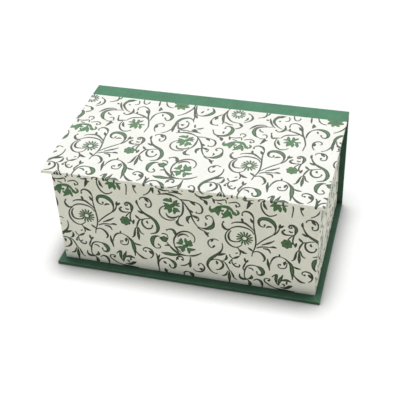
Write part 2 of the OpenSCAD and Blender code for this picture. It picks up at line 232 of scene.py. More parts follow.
    (2.7, 0.3, -18, 22, -15.4, 21.2, -12.9, 21.4, -9.8, 21.2, -4.8, 21.9, -1, 22.2),
    (1.2, 0.4, -6.9, 16, -6.6, 18.2, -5.1, 20.1, -2.9, 20.5, -1.6, 19.1, -1.9, 17.3),
    (1.4, 0.5, -5.2, 18.6, -6.2, 17.2),
    (1.0, 0.5, -2.6, 18.4, -2.9, 17),
    (2.0, 0.75, 4, 21.4, 3.7, 17.9, 3.4, 14.8, 3.3, 11),
    (1.0, 0.5, -4.1, 11.6, -1, 12.3, 1.5, 14.1, 3.1, 16),
    (1.2, 0.4, 5.6, 10.4, 7.1, 8.6, 9.6, 8.2, 12.4, 9.1, 14, 11.6, 14, 14.4, 12.1, 16.6, 10.3, 16.3,
     9.9, 14.8),
    (2.1, 0.5, 10.4, 11.9, 11.6, 11, 12.7, 12),
    (1.0, 0.5, -1.6, 2.4, -1.6, 5.1, 0.3, 6.6, 2.8, 6.3),
    (2.8, 0.5, 2.2, 6.6, 4.2, 5, 5.8, 2.2),
    # Second S-scroll with its circle and palm
    (2.0, 0.5, 28.1, 39.6, 28.4, 36.6, 27.9, 33.5, 26.5, 30.7, 24, 27.9, 21.2, 25.1, 18.7, 22.3, 17.1,
     19.1, 16.6, 16, 17.8, 12.9, 19.6, 10.5, 22.1, 9.2, 24.2, 9.3),
    (0.9, 0.5, 25.6, 41.3, 23.4, 42.3, 21.2, 41.9, 19, 40.7, 17.8, 38.5, 18.1, 36, 19.6, 34, 21.5, 34.1,
     22.3, 35.6),
    (1.6, 0.4, 21.4, 42.3, 20.8, 40.6, 20, 39.2),
    (1.2, 0.5, 20.9, 35.2, 21.9, 34.9),
    (1.8, 0.5, 30.5, 29.9, 27.4, 28.7, 24.8, 26.9),
    (1.4, 0.7, 19.3, 21.3, 22.1, 22.9, 25.3, 22.9, 27.4, 21.3, 28.4, 18.5, 27.4, 15.7, 25.3, 13.7, 22.6,
     12.9),
    (1.7, 0.5, 23.2, 21.8, 23.9, 20, 23.7, 18.2),
    # Curls along the foot
    (1.6, 0.25, -22.6, 20, -21.5, 17.9, -21, 14.1, -21.3, 10.4, -20.9, 5.4, -20.6, 2.2),
    (1.2, 0.4, -19.5, 19.2, -20.4, 16.8, -20.9, 14.6),
    (1.0, 0.5, -20.6, 11.6, -19.1, 14.8, -16.6, 16.5, -13.5, 16.9, -11.4, 16.2),
    (2.2, 0.35, -13.6, 16.8, -10.6, 15.2, -8.4, 13, -8, 10.4, -9.1, 8.1, -11.2, 7.9, -12.3, 9.4),
    (1.7, 0.5, -17, 13.6, -15.9, 12.3, -14.9, 11),
    (0.8, 0.5, -12.7, 11.4, -12.2, 9.8),
    (2.2, 0.5, -16.4, 6.4, -15.6, 4.4, -14.8, 2),
)
# Petals of the flowers and palmettes
PETALS = (
    # Lobed flower: five leaves, each of a few lobes
    (2.6, 0.5, -13.4, 71, -10.4, 72, -7.2, 70.5),
    (1.9, 0.5, -7.8, 74.4, -7.7, 72.4, -7.2, 70.2),
    (2.6, 0.5, -2.9, 72.8, -4.4, 70.8, -6.4, 68.7),
    (1.7, 0.5, -1.3, 70.3, -3.4, 69.6, -6, 68.7),
    (1.6, 0.5, -1.3, 67.5, -3.4, 68.2, -6, 68.6),
    (4.2, 0.5, -13.2, 66.2, -10.2, 66.3, -7.2, 66.6),
    (2, 0.5, -13.4, 68.9, -11, 68, -8, 67),
    (2.2, 0.5, -13, 63.2, -11, 64.6, -8, 66),
    (2.9, 0.5, -9.6, 60.2, -8.8, 63.2, -7.6, 66.2),
    (2.3, 0.5, -5.9, 60, -5.4, 62.6, -5.8, 65.6),
    (3, 0.5, -1.5, 62.8, -3.8, 63.9, -6, 65.8),
    (3.2, 0.5, -9, 67, -7, 67.4, -5, 67.4),
    # Five-petal flower
    (2.8, 0.5, -1.9, 38.4, -2.4, 35.4, -1.4, 32.4),
    (2.3, 0.5, -6, 33, -3.6, 33.5, -1.2, 32.6),
    (2.2, 0.5, 0.9, 39, 1.4, 36, 1.7, 32.4),
    (3.8, 0.5, 4.8, 37.8, 4, 34.8, 2, 32),
    (2.2, 0.5, 6.5, 33, 4.2, 32.9, 1.8, 32.2),
    (2.3, 0.5, 8.2, 29.7, 5, 28.8, 1.9, 29.9),
    (2.4, 0.5, 3.1, 24.6, 3.3, 27, 2.2, 29.8),
    (3, 0.5, -1.9, 25.2, -1.4, 27.9, 0.2, 30.6),
    (2.4, 0.5, -5.6, 29.5, -2.9, 29.5, 0.2, 30.7),
    (3, 0.5, -1.2, 31.7, 0.7, 31.4, 2.6, 31.1),
    # Palmette
    (2.8, 0.6, 20.6, 71.9, 20.3, 69.6, 21.4, 67.6, 23.3, 69, 24.6, 71),
    (2.1, 0.5, 23.4, 69.8, 24.9, 71.5, 27.1, 72.5, 30.3, 72.9, 33.4, 72.6, 35.3, 71, 36.8, 68.8, 38.8,
     66.2),
    (3.1, 0.5, 25.9, 71.8, 25.5, 68.4, 26, 64.2),
    (1.9, 0.3, 27.6, 72.2, 27.5, 70.4, 27.7, 68.2),
    (1.6, 0.5, 28, 68.6, 29.2, 69, 30.1, 69.8),
    (1.3, 0.5, 28.7, 67.6, 29.1, 66.2, 30, 65),
    (3.5, 0.5, 28.5, 62.5, 30.9, 64.8, 32.5, 67.6, 33, 71.8),
    (1.9, 0.4, 35.6, 63, 34.8, 66, 34.6, 69.4),
    (2.5, 0.5, 36.2, 70.2, 37.2, 68, 39, 66.3),
    (1.6, 0.5, 38.7, 71.3, 40.3, 69.9, 40, 67.8, 38.4, 66.6),
)
# The upper part of the repeat, from the front edge of the lid
UPPER_CORNER = (3.0, 11.6)
UPPER_STROKES = (
    (2.7, 0.45, 76.1, 85.8, 78.6, 87.9, 81.1, 88.6, 84.3, 88.2, 87.4, 86.2, 88.9, 83.3, 88.6, 80.1,
     86.8, 78.3, 84.9, 79.2, 83.9, 81.1),
    (1.2, 0.5, 73.9, 75.8, 73.9, 79.5, 74.6, 82.9, 76.1, 85.8, 78.6, 87.9),
    (1.3, 0.5, 80.4, 86, 81, 84.8, 81.4, 83.2),
    (1.0, 0.5, 78.9, 102.8, 79.9, 99.5, 81.8, 97.3, 84.3, 96.1, 86.1, 96.1),
    (1.1, 0.5, -15.4, 102.8, -16.3, 98.3, -17.9, 94.5, -20.1, 90.8, -22.6, 88.3, -25.4, 86.3),
    (1.5, 0.5, -16, 102.8, -15.4, 98.9, -14.1, 95.1, -12.9, 90.8, -11.9, 87, -11.9, 83.3, -11, 79.9),
    (1.0, 0.4, -14.4, 102.4, -13.5, 96.4, -11.9, 92, -10.1, 89.6),
    (1.3, 0.5, -11.3, 89.6, -10.6, 87.6, -9.7, 85.4),
    (2.6, 0.6, -10.1, 89.7, -7.3, 89.5, -3.8, 90.9, -1.2, 93.4, 0.4, 96.4, -0.4, 99.5, -1.9, 101),
    (1.5, 0.5, -7.4, 96.4, -8, 94.8, -8.8, 93),
    (1.3, 0.5, -4.6, 99.4, -5.2, 98),
    # Upper S-scroll with its circle
    (2.1, 0.3, -11.6, 81.8, -13, 83.6, -15.4, 84.9, -18.5, 84.2, -21, 82.3, -22.6, 79.5, -23.2, 76.4,
     -23.2, 73.3, -23.8, 70.1, -25.4, 66.4, -27.9, 63.3, -30.7, 61.7),
    (1.9, 0.6, -23.8, 76, -23.8, 70.8, -23.2, 64.4),
    (1.2, 0.5, -21.6, 76.6, -21, 72.6, -19.1, 70.2, -16.6, 70.4, -14.4, 72.6, -13.8, 76.1, -14.4, 78.9,
     -16.2, 79.9),
    (2.2, 0.5, -19.4, 75.8, -18.2, 74.7, -17, 75.8),
    (1.2, 0.5, -21, 70.6, -18.5, 69, -15, 68.2, -11.4, 68.7),
    (1.5, 0.5, -19.3, 68, -18.6, 66.6, -18, 64.8),
    (1.3, 0.5, -8.9, 77.2, -8.6, 75, -8, 72.8),
    (1.5, 0.5, -1.7, 74.2, -3.6, 72.6, -6.4, 71.8),
    (2.6, 0.5, -9.8, 69.6, -7, 69.8, -4.8, 68.6),
    (1.2, 0.5, -12, 67.4, -8, 67.8, -4.6, 67.6, -2, 66.8),
    # Second sunburst: arcs, stems and curls
    (1.1, 0.5, 7.8, 94.6, 5.3, 92, 2.8, 89.5, 1.5, 86.4),
    (1.6, 0.4, 1.5, 86.8, 1.5, 83.3, 2.4, 80.8, 4.6, 79.6, 7.2, 79.6),
    (2.2, 0.5, 4.9, 90.9, 4.4, 88.8, 3.7, 86.6),
    (1.8, 0.6, 11.6, 102.8, 10.3, 99.5, 9.1, 95.8, 9, 92, 9.6, 88.3, 10.6, 84.5, 10.3, 81.8),
    (1.2, 0.5, 10.7, 101, 10.6, 97, 11.5, 93.3, 13.7, 89.5, 16.5, 86.7, 19.6, 85.7, 22.8, 85.5),
    (1.1, 0.5, 10.9, 85.1, 13.4, 83.9, 15.9, 82.4, 18.6, 82.2),
    (2.1, 0.5, 22.6, 85.6, 24.3, 83.6, 25.9, 81),
    (1.1, 0.5, 25.2, 81.4, 24.3, 79.5, 22, 77.8),
    (1.4, 0.5, 26.5, 99.4, 29.3, 97.6, 30.9, 94.5, 30.6, 91.4, 28.7, 88.9, 25.8, 87),
    (1.3, 0.5, 27.4, 94.1, 27.4, 91.4, 25.8, 89.4),
    (2.5, 0.38, 14, 76.8, 14.3, 79.2, 16.5, 79.9, 19, 78.3, 20, 75.6, 19.6, 72.6, 18.4, 69.5, 15.9,
     67.4, 12.8, 66.7, 9.6, 67, 7.8, 68.3, 6.5, 70.8, 5.8, 72.8),
    (1.4, 0.5, 14, 72.8, 14, 71.4, 14.1, 69.8),
    (1.0, 0.5, 9.8, 66.9, 11.5, 65.1, 13, 64.4),
    (2.4, 0.5, 12.8, 64.9, 14.3, 63.5, 15.4, 60.6),
    (1.4, 0.5, 19.4, 67.4, 20.2, 65.2, 20.7, 63),
    # Sprays above the lower edge
    (1.0, 0.5, 20, 66.1, 24, 66.1, 28.4, 67.3, 29, 64.3),
    (0.9, 0.5, 22.6, 64, 24.4, 63.4, 26.2, 63.2),
    (0.9, 0.5, 27, 69.8, 27.1, 72.3, 29.6, 72.4, 30.9, 70.4, 29.8, 68.7),
    (0.9, 0.5, 30.6, 64.9, 33.4, 65.9, 36.1, 66.4, 38, 65.1, 38.3, 63.3, 36.4, 62.6),
    (1.2, 0.5, 35.7, 64.4, 36.1, 61.9),
    (1.6, 0.35, 31.6, 79.3, 33.6, 82.4, 36.1, 85.1, 39.3, 86.4, 42.1, 86.4, 43.5, 85.3),
    (2.5, 0.7, 48, 85.4, 44.3, 84.8, 40.5, 84.2, 37.4, 82.6, 35.8, 80.1, 35.5, 77, 36.4, 73.9, 38.2,
     71.3, 40.8, 69.8),
    (1.1, 0.5, 39.2, 80.9, 39.6, 78.9, 42.6, 77.2),
    (0.9, 0.5, 42.3, 73.8, 44.9, 74.5, 46.1, 72.6, 46.1, 70.2),
    (0.9, 0.5, 41, 69, 43, 68.9, 45, 69.2),
    (2.1, 0.4, 45.2, 70, 45, 66.6, 43.2, 62),
    (1.2, 0.5, 44.8, 67, 47.6, 67.4),
    # Ring and stems at the flower under the cloth strip
    (1.2, 0.5, 39.9, 103, 40.4, 99, 38, 96.4, 34.7, 95.2),
    (1.4, 0.5, 42.9, 102.6, 41.2, 99.6),
    (1.7, 0.4, 41.2, 94.2, 43.4, 93.2),
    (1.4, 0.4, 43.8, 96.2, 44.9, 92.6, 46.1, 89.5, 48, 86.4, 49.8, 84.7),
    (2.2, 0.15, 55.2, 100.6, 51.8, 99.8, 48.9, 98.3, 47.4, 95.1, 47.5, 92, 49.3, 88.9, 51.8, 86.1, 55.1,
     83.8),
    (0.85, 0.5, 57.3, 100.3, 58.3, 97.6, 57.4, 95.1, 55.3, 94.8),
    (1.5, 0.5, 50.8, 94.4, 52.2, 93.4),
    (1.9, 0.4, 56.3, 89.2, 57.3, 85.8, 56.8, 82.9, 54.9, 80.7, 52.7, 80.1, 51, 81.6),
    (0.9, 0.5, 60.8, 102.6, 61.8, 98.3, 63.9, 97, 65.8, 98.9, 66, 100.6),
    (1.1, 0.4, 59.9, 88.1, 59.9, 90.8, 61.1, 92.4, 63.6, 93.4, 66.1, 92.4, 68.3, 90.1, 69.6, 87, 70.2,
     83.3, 71.1, 79.5, 72.7, 75.8, 73.9, 72, 74.9, 67.6, 74.6, 63.9, 74.1, 59.8),
    (2.1, 0.5, 66.7, 88.9, 68.2, 86.9, 69.6, 84.2),
    (1.4, 0.6, 58.2, 83.4, 60.5, 82.9, 63.6, 82, 66.8, 80.8, 69.9, 78.9, 71.9, 76.9),
    (1.5, 0.5, 60.4, 85.8, 61.1, 82.8),
    (1.1, 0.5, 68.2, 79, 63.6, 77.9, 59.9, 77, 57.7, 75.1, 56.1, 72.4),
    (1.5, 0.6, 48.5, 77.2, 49.3, 73.3, 50.4, 71.2, 53, 72, 55.7, 72.6),
    (1.1, 0.5, 53.8, 71, 53, 67.6, 53.6, 63.9, 55.5, 60.4, 58.6, 58.4, 61.8, 59.2, 64, 60.9),
    (1.7, 0.5, 54.8, 69.8, 55.5, 66.4, 57.2, 63.7),
    (1.2, 0.5, 73.8, 102.8, 74.1, 99, 74.5, 96),
    (2.2, 0.5, 76.3, 95, 77, 92.4, 76.4, 89.4),
    (1.3, 0.5, 76.8, 91.4, 78.8, 92.2),
    (1.0, 0.5, 82, 62.4, 80.5, 65.1, 79.9, 68.3, 80.2, 71.1, 81.8, 72.9, 84.3, 73.6, 86.1, 72, 86.1,
     70.1, 84.7, 69.9),
    (2.1, 0.5, 81.2, 71, 81, 69, 81.2, 67.2),
)
UPPER_PETALS = (
    (2.0, 0.45, 61.1, 75.6, 61.8, 73, 63.2, 70.6),
    (1.6, 0.45, 58.4, 70.8, 60.8, 71.3, 63.2, 70.4),
    (2.1, 0.45, 64.9, 75.4, 65.6, 73, 65.6, 70.6),
    (1.8, 0.45, 69, 74.6, 67, 72.6, 65.8, 70.8),
    (2.2, 0.5, 59.2, 67, 62, 68.4, 64.8, 69.6),
    (2.8, 0.45, 61.9, 63.2, 63.2, 66.4, 64.8, 69.6),
    (2.4, 0.45, 66.2, 63, 65.8, 66, 65.4, 69.4),
    (2.2, 0.45, 69.7, 63.4, 69, 66.4, 67.6, 69.2),
    (1.6, 0.45, 71.4, 69.6, 69, 69.2, 67, 69),
    (3.0, 0.5, 62.2, 69.2, 64.9, 70, 67.6, 69.2),
)
# Round ends of the curls: x, y and radius
BALLS = (
    (58.6, 61.3, 0.85), (77.1, 62.4, 0.8), (72.2, 59.3, 0.8), (91.2, 65, 0.85), (87.4, 20.5, 0.85),
    (69.8, 27, 0.85), (53, 16.6, 0.8), (17.8, 59.8, 0.75), (10.4, 64.1, 0.75), (-19.6, 29.1, 0.8),
    (-1.9, 17.3, 0.75), (9.9, 14.8, 0.85), (22.3, 35.6, 0.8), (-12.3, 9.4, 0.8), (29.6, 59.2, 0.75),
    (43, 67.6, 0.75), (40.5, 20.6, 0.75), (94.5, 46.2, 0.75), (11.2, 57.1, 0.75), (-12.4, 44.2, 0.75),
)
UPPER_BALLS = (
    (59.9, 88.1, 0.8), (83.9, 81.1, 0.85), (51, 81.6, 0.8), (5.8, 72.8, 0.75), (29.8, 68.7, 0.75),
    (-16.2, 79.9, 0.85), (22, 77.8, 0.75), (7.2, 79.6, 0.8), (14, 76.8, 0.8), (48.5, 77.2, 0.75),
)


def eased(t):
    """A smooth step from 0 to 1."""
    t = min(max(t, 0.0), 1.0)
    return t * t * (3 - 2 * t)


def through(points):
    """Points along a smooth curve through these points."""
    ends = [points[0]] + points + [points[-1]]
    line = []
    for a, b, c, d in zip(ends, ends[1:], ends[2:], ends[3:]):
        pieces = max(2, round(math.dist(b, c) / POINT_STEP))
        for k in range(pieces):
            t = k / pieces
            line.append(tuple(
                0.5 * (2 * q + (r - p) * t + (2 * p - 5 * q + 4 * r - s) * t * t
                       + (3 * q - p - 3 * r + s) * t ** 3)
                for p, q, r, s in zip(a, b, c, d)))
    return line + [points[-1]]


def stroke_sides(row, corner, rim=0.0):
    """The left and right edge of one pen stroke, which swells to its greatest width.

    With a rim, they bound the field inside the stroke's outline, where the stroke is wide enough.
    """
    widest, peak = BOLD * row[0], row[1]
    line = through([(x + corner[0], y + corner[1]) for x, y in zip(row[2::2], row[3::2])])
    left, right = [], []
    for k, (x, y) in enumerate(line):
        share = k / (len(line) - 1)
        rise = share / peak if share < peak else (1 - share) / (1 - peak)
        swell = math.sin(0.5 * math.pi * rise) ** PEN_SWELL if widest < FINE else eased(rise)
        half = 0.5 * (THIN + (widest - THIN) * swell) - rim
        if rim and half < 0.5 * NARROWEST:
            continue
        before, after = line[max(k - 1, 0)], line[min(k + 1, len(line) - 1)]
        dx, dy = after[0] - before[0], after[1] - before[1]
        length = math.hypot(dx, dy) or 1.0
        left.append((x - dy / length * half, y + dx / length * half))
        right.append((x + dy / length * half, y - dx / length * half))
    return left, right


def inked(row, corner, rim):
    """One stroke as its dark body and, where it is wide, the green field inside it."""
    left, right = stroke_sides(row, corner)
    shapes = [(left, right, OUTLINE_INK)]
    left, right = stroke_sides(row, corner, rim)
    if len(left) > 2:
        shapes.append((left, right, LEAF_INK))
    return shapes


def ball(x, y, radius):
    """A round end as one short stroke."""
    return (2 * radius, 0.5, x - 0.9 * radius, y, x, y + 0.1 * radius, x + 0.9 * radius, y)


def fan(cx, cy, count, start, sweep, inner, outer, widest, curl=0.0, peak=0.65):
    """Petals round a centre, from one angle on, each bent by curl, as rows of strokes."""
    rows = []
    for k in range(count):
        angle = math.radians(start + sweep * k / max(count - 1, 1))
        bent = angle + math.radians(curl)
        middle = 0.5 * (inner + outer)
        rows.append((
            widest, peak,
            cx + inner * math.cos(angle), cy + inner * math.sin(angle),
            cx + middle * math.cos((angle + bent) / 2), cy + middle * math.sin((angle + bent) / 2),
            cx + outer * math.cos(bent), cy + outer * math.sin(bent)))
    return rows


# Sunbursts, rosette and the flower that the lid's cloth cuts through: centre, number of petals,
# first angle and sweep in degrees, inner and outer radius, width, curl and where it is widest
FLOWERS = (
    fan(44.4, 46.9, 14, 10, 334, 1.5, 6.1, 1.2, 8)
    + fan(74.2, 47.3, 7, 15, 308, 0.2, 4.3, 3.2, 0, 0.6)
    + fan(22.5, 108.5, 13, 0, 332, 1.8, 5.6, 1.2, 10)
    + fan(94.7, 112.3, 8, 12, 315, 0.2, 6.4, 2.5, 20)
)
# Where the repeat lies on the tray's front, and on the lid from the middle of its front edge
WALL_SHIFT = (0.0, 0.0)
LID_SHIFT = (-2.7, -11.8)

# Sizes, from the frame


def node_box(name):
    """Lowest and highest corner of a frame node, in millimetres."""
    return [[value / MM for value in corner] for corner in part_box(name)]


board_low, board_high = node_box("lid_board")
board_x, board_front = board_high[0], board_low[1]
BOARD = board_high[2] - board_low[2]
PAPER = board_front - node_box("lid_paper")[0][1]
CLOTH = node_box("lid_cloth")[1][2] - board_high[2]
lap_edge = node_box("lid_paper")[1][1]
cloth_edge = node_box("lid_cloth")[0][1]
cloth_back = node_box("lid_cloth")[1][1]
wrap_low, wrap_high = node_box("tray_paper")
wall_x, wall_front, wall_back = wrap_high[0] - PAPER, wrap_low[1] + PAPER, wrap_high[1] - PAPER
rim_z = wrap_high[2] - PAPER
crease_low, crease_high = node_box("hinge_cloth")[0][2], node_box("hinge_cloth")[1][2]
inner_hinge_x = node_box("inner_hinge_bend")[1][0]

TURN_IN = 15.0       # width of a turned-in edge
MITRE = 0.15         # half of the open mitre between two turn-ins
SHEET = 0.15         # thickness of a modelled sheet, a hair less than the paper's space
FOLD = 0.32          # width of sheet that goes round one edge of a board
FOLD_STEPS = 4       # flat faces in that fold
CLIMB = 0.7          # width over which the lid's paper climbs onto the cloth
CLIMB_STEPS = 5      # flat faces in that climb
CLIMB_GAP = 0.05     # the climb ends this far short of the cloth
climb_start = cloth_edge - CLIMB - CLIMB_GAP
HAIR = 0.02          # keeps the two ends of the tray's wrapper, and its foot, from touching
TONGUE_PLAY = 0.03   # room beside each tongue that is turned down inside the tray
SPARE = 3.0          # strokes are laid as far as this past the lid's edges
PRINT_INSIDE = 8.0   # inside the tray, only strokes that come within this of the rim are laid
PRINT_BEHIND = 12.0  # behind it, where the spine is glued on, only those that stay within this
THINNEST = 0.004     # strokes have no triangle thinner than this
MERGE = 1e-4         # points of a flat sheet that are nearer than this become one
WELD = 0.001         # the same once the sheet is folded


# Printed sheets


def round_edge(d, off, through_board):
    """How far out and down a sheet lies that runs d past the edge of a board."""
    if d <= FOLD:
        turn = 0.5 * math.pi * d / FOLD
        return off * math.sin(turn), off * (1 - math.cos(turn))
    d -= FOLD
    if d <= through_board:
        return off, off + d
    d -= through_board
    if d <= FOLD:
        turn = 0.5 * math.pi * d / FOLD
        return off * math.cos(turn), off + through_board + off * math.sin(turn)
    return FOLD - d, 2 * off + through_board


def lid_place(u, v, depth):
    """Where a point of the flat lid sheet lies on the lid board."""
    off = PAPER - depth + CLOTH * eased((v - climb_start) / CLIMB)
    past_end, past_front = abs(u) - board_x, board_front - v
    side = math.copysign(1.0, u)
    z = board_high[2] + off
    if past_end <= 0 and past_front <= 0:
        return u, v, z
    out, down = round_edge(max(past_end, past_front), off, BOARD)
    if past_front <= 0:
        return side * (board_x + out), v, z - down
    if past_end <= 0:
        return u, board_front - out, z - down
    turn = 0.5 * math.pi * past_front / (past_end + past_front)
    return side * (board_x + out * math.cos(turn)), board_front - out * math.sin(turn), z - down


# The walls of the tray as one strip, from the back left corner round the front to the back right
wall_depth = wall_back - wall_front
WALLS = (
    # where the wall begins along the strip, its length, its first corner, its direction
    (-wall_x - FOLD - wall_depth, wall_depth, (-wall_x, wall_back), (0, -1)),
    (-wall_x, 2 * wall_x, (-wall_x, wall_front), (1, 0)),
    (wall_x + FOLD, wall_depth, (wall_x, wall_front), (0, 1)),
    (wall_x + 2 * FOLD + wall_depth, 2 * wall_x, (wall_x, wall_back), (-1, 0)),
)


def tray_place(u, v, depth):
    """Where a point of the flat tray wrapper lies on the walls."""
    off = PAPER - depth
    for start, length, corner, run in WALLS:
        if u <= start + length:
            break
    along = min(max(u - start, 0.0), length)
    if u < start:
        turn = -0.5 * math.pi * min(start - u, FOLD) / FOLD
    else:
        turn = 0.5 * math.pi * max(u - start - length, 0.0) / FOLD
    across = (run[1], -run[0])
    out_x = across[0] * math.cos(turn) + run[0] * math.sin(turn)
    out_y = across[1] * math.cos(turn) + run[1] * math.sin(turn)
    out, up = off, v - rim_z
    if up > 0:
        # the walls stand, so past the rim what round_edge calls out is up, and down is inward
        up, inward = round_edge(up, off, BOARD)
        out = off - inward
    x = corner[0] + along * run[0] + out * out_x
    y = corner[1] + along * run[1] + out * out_y
    return x, y, rim_z + up


def fold_steps(start):
    """The lines of one fold, from its first to its last."""
    return [start + FOLD * k / FOLD_STEPS for k in range(FOLD_STEPS + 1)]


def height_of(triangle):
    """The least height of a flat triangle, below zero if its corners run clockwise."""
    p, q, r = triangle
    area = (q.x - p.x) * (r.y - p.y) - (q.y - p.y) * (r.x - p.x)
    longest = max((q - p).length, (r - q).length, (p - r).length)
    return area / longest if longest else 0.0


def covers(triangle, spot):
    """True if a spot lies in a triangle whose corners run counter-clockwise."""
    return all((b.x - a.x) * (spot.y - a.y) >= (b.y - a.y) * (spot.x - a.x)
               for a, b in zip(triangle, triangle[1:] + triangle[:1]))


def cut_sheet(outline, folds, strokes):
    """Cuts a flat sheet along its folds and strokes: its points, and its cells with their inks."""
    points = [Vector(p) for p in outline]
    faces = [list(range(len(points)))]
    edges = []
    for start, end in folds:
        edges.append((len(points), len(points) + 1))
        points += [Vector(start), Vector(end)]
    inked_faces = {}
    for left, right, ink in strokes:
        first, count = len(points), len(left)
        points += [Vector(p) for p in left + right]
        for a in range(first, first + count - 1):
            for tri in ([a, a + count, a + count + 1], [a, a + count + 1, a + 1]):
                height = height_of([points[i] for i in tri])
                if height < 0:
                    tri.reverse()
                if abs(height) > THINNEST:
                    inked_faces[len(faces)] = ([points[i] for i in tri], ink)
                    faces.append(tri)
    flat, _, cells, _, _, origin = delaunay_2d_cdt(points, edges, faces, 0, MERGE, True)
    kept = []
    for cell, ids in zip(cells, origin):
        if 0 not in ids:    # face 0 is the sheet itself, so this cell lies outside it
            continue
        middle = sum((flat[i] for i in cell), Vector((0.0, 0.0))) / len(cell)
        over = [inked_faces[i] for i in ids if i > 0]
        inks = [ink for triangle, ink in over if covers(triangle, middle)]
        kept.append((list(cell), max([PAPER_FACE] + inks)))
    return flat, kept


def add_mesh(name, verts, faces, finishes):
    """A new object with this mesh and these materials."""
    mesh = bpy.data.meshes.new(name)
    mesh.from_pydata(verts, [], faces)
    for finish in finishes:
        mesh.materials.append(materials[finish])
    piece = bpy.data.objects.new(name, mesh)
    bpy.context.scene.collection.objects.link(piece)
    return piece


def printed_sheet(name, outline, folds, strokes, place):
    """A sheet with the print in it: paper and inks are faces of one closed, folded mesh."""
    flat, kept = cut_sheet(outline, folds, strokes)
    count = len(flat)
    verts = [[value * MM for value in place(p.x, p.y, depth)]
             for depth in (0.0, SHEET) for p in flat]
    polygons, inks = [], []
    rim = {}
    for cell, ink in kept:
        polygons += [cell, [count + i for i in reversed(cell)]]
        inks += [ink, PAPER_FACE]
        for a, b in zip(cell, cell[1:] + cell[:1]):
            if (b, a) in rim:
                del rim[(b, a)]
            else:
                rim[(a, b)] = True
    for a, b in rim:
        polygons.append([b, a, count + a, count + b])
        inks.append(PAPER_FACE)
    piece = add_mesh(name, verts, polygons, ["printed_paper", "outline_ink", "leaf_ink"])
    piece.data.polygons.foreach_set("material_index", inks)
    shape = bmesh.new()
    shape.from_mesh(piece.data)
    bmesh.ops.remove_doubles(shape, verts=shape.verts, dist=WELD * MM)
    bmesh.ops.delete(
        shape, geom=[v for v in shape.verts if not v.link_faces], context="VERTS")
    shape.to_mesh(piece.data)
    shape.free()
    return piece


def all_strokes():
    """The edges of every stroke of one repeat, each with its ink."""
    stems = STROKES + tuple(ball(*end) for end in BALLS)
    upper_stems = UPPER_STROKES + tuple(ball(*end) for end in UPPER_BALLS)
    drawn = (
        (stems, (0.0, 0.0), STEM_RIM), (upper_stems, UPPER_CORNER, STEM_RIM),
        (PETALS + tuple(FLOWERS), (0.0, 0.0), PETAL_RIM), (UPPER_PETALS, UPPER_CORNER, PETAL_RIM),
    )
    return [shape for rows, corner, rim in drawn for row in rows
            for shape in inked(row, corner, rim)]


def laid_strokes(shift, wanted):
    """The strokes of as many repeats as reach the sheet, moved by shift."""
    laid = []
    strokes = all_strokes()
    for repeat in range(-REPEATS_AROUND, REPEATS_AROUND + 1):
        move = shift[0] + repeat * REPEAT
        for left, right, ink in strokes:
            left_here = [(x + move, y + shift[1]) for x, y in left]
            right_here = [(x + move, y + shift[1]) for x, y in right]
            if wanted(left_here + right_here):
                laid.append((left_here, right_here, ink))
    return laid


def lid_sheet():
    """The printed paper of the lid, turned in at the front and the ends."""
    edge = 2 * FOLD + BOARD
    reach, low = board_x + edge, board_front - edge
    outline_half = [
        (board_x - TURN_IN - MITRE, low - TURN_IN), (board_x - MITRE, low), (reach, low),
        (reach, board_front + MITRE), (reach + TURN_IN, board_front + TURN_IN + MITRE),
        (reach + TURN_IN, lap_edge),
    ]
    outline = outline_half + [(-x, y) for x, y in reversed(outline_half)]
    folds = []
    for level in fold_steps(0) + fold_steps(FOLD + BOARD):
        y = board_front - level
        folds.append(((-reach, y), (reach, y)))
        for side in (-1, 1):
            x = side * (board_x + level)
            folds.append(((x, low), (x, lap_edge)))
    for k in range(CLIMB_STEPS + 1):
        y = climb_start + CLIMB * k / CLIMB_STEPS
        folds.append(((-reach - TURN_IN, y), (reach + TURN_IN, y)))
    for side in (-1, 1):
        folds.append(((side * board_x, board_front), (side * reach, low)))

    def wanted(points):
        lowest, highest = min(y for _, y in points), max(y for _, y in points)
        return (min(abs(x) for x, _ in points) < reach + SPARE
                and lowest < lap_edge and highest > low - SPARE)

    strokes = laid_strokes((LID_SHIFT[0], LID_SHIFT[1] + cad_box[0][1] / MM), wanted)
    return printed_sheet("printed_lid_paper", outline, folds, strokes, lid_place)


def tray_sheet():
    """The printed paper of the tray, round the walls, over the rim and down inside."""
    low = wrap_low[2] + HAIR
    over = rim_z + FOLD
    inner = over + BOARD
    end = inner + FOLD + TURN_IN - 2 * PAPER
    tongue = BOARD + PAPER + TONGUE_PLAY
    outline = []
    for start, length, _, _ in reversed(WALLS):
        finish = start + length
        outline += [
            (finish, over), (finish - BOARD, inner),
            (finish - tongue, inner + FOLD), (finish - tongue, end),
            (start + tongue, end), (start + tongue, inner + FOLD),
            (start + BOARD, inner), (start, over),
        ]
    first, last = WALLS[0][0] - FOLD + HAIR, WALLS[3][0] + WALLS[3][1]
    outline += [(first, over), (first, low), (last, low)]
    folds = []
    for level in fold_steps(rim_z) + fold_steps(inner):
        folds.append(((first, level), (last, level)))
    for start, _, _, _ in WALLS:
        for x in fold_steps(start - FOLD):
            if x > first:
                folds.append(((x, low), (x, over)))
    back_start = WALLS[3][0]

    def wanted(points):
        lowest, highest = min(y for _, y in points), max(y for _, y in points)
        behind = min(abs(x) for x, _ in points) > back_start
        return (highest > low and lowest < inner + PRINT_INSIDE
                and min(x for x, _ in points) < last and max(x for x, _ in points) > first
                and not (behind and lowest < rim_z - PRINT_BEHIND))

    strokes = laid_strokes(WALL_SHIFT, wanted)
    return printed_sheet("printed_tray_paper", outline, folds, strokes, tray_place)
